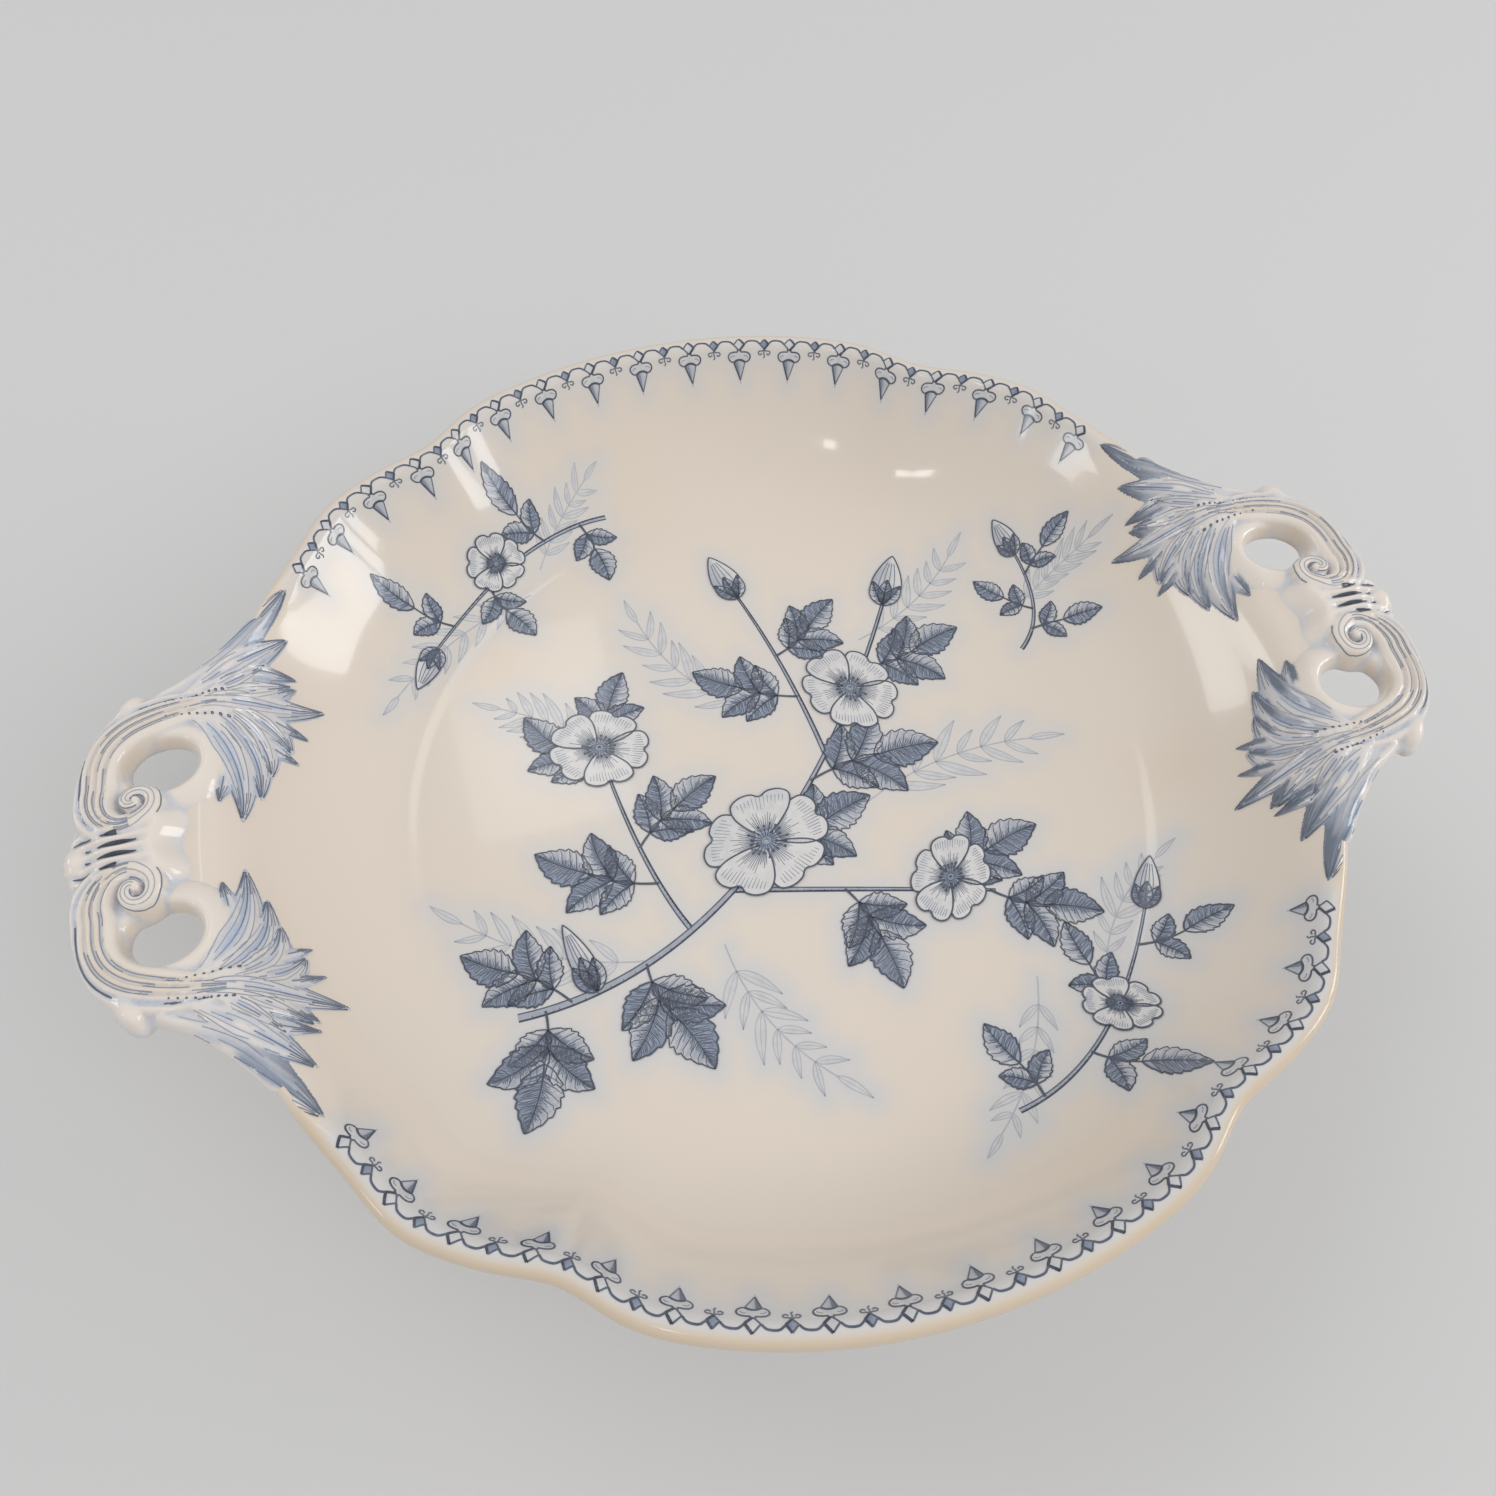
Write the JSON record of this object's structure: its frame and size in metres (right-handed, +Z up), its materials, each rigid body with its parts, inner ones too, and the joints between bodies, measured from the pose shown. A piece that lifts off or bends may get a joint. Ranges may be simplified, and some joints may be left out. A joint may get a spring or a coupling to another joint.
{
  "type": "compote dish",
  "caption": "Footed two-handled serving dish in glazed earthenware: a shallow lobed bowl on a hollow pedestal, with pierced scroll handles and acanthus leaf relief.",
  "frame": {"origin": "middle of the foot, on the surface that the dish stands on", "axes": "+Z up through the pedestal, +X through the two handles towards the right one, +Y towards the far lobe"},
  "size_m": [0.33, 0.2726, 0.1225],
  "materials": {
    "cream_glaze": "high gloss clear glaze over a warm cream body",
    "tinted_glaze": "high gloss glaze with blue pooled in the flutes",
    "blue_print": "blue underglaze print under a high gloss glaze"
  },
  "bodies": {
    "root": {"bowl": "cream_glaze", "stem": "cream_glaze", "foot": "cream_glaze", "left_tongue": "cream_glaze", "left_clasp": "tinted_glaze", "left_tip_bead": "cream_glaze", "right_tongue": "cream_glaze", "right_clasp": "tinted_glaze", "right_tip_bead": "cream_glaze", "left_far_scroll": "tinted_glaze", "left_far_volute": "cream_glaze", "left_far_knob": "cream_glaze", "left_far_rim_leaf": "blue_print", "left_far_leaf_fan": "blue_print", "left_near_scroll": "tinted_glaze", "left_near_volute": "cream_glaze", "left_near_knob": "cream_glaze", "left_near_rim_leaf": "blue_print", "left_near_leaf_fan": "blue_print", "right_far_scroll": "tinted_glaze", "right_far_volute": "cream_glaze", "right_far_knob": "cream_glaze", "right_far_rim_leaf": "blue_print", "right_far_leaf_fan": "blue_print", "right_near_scroll": "tinted_glaze", "right_near_volute": "cream_glaze", "right_near_knob": "cream_glaze", "right_near_rim_leaf": "blue_print", "right_near_leaf_fan": "blue_print"}
  },
  "joints": []
}
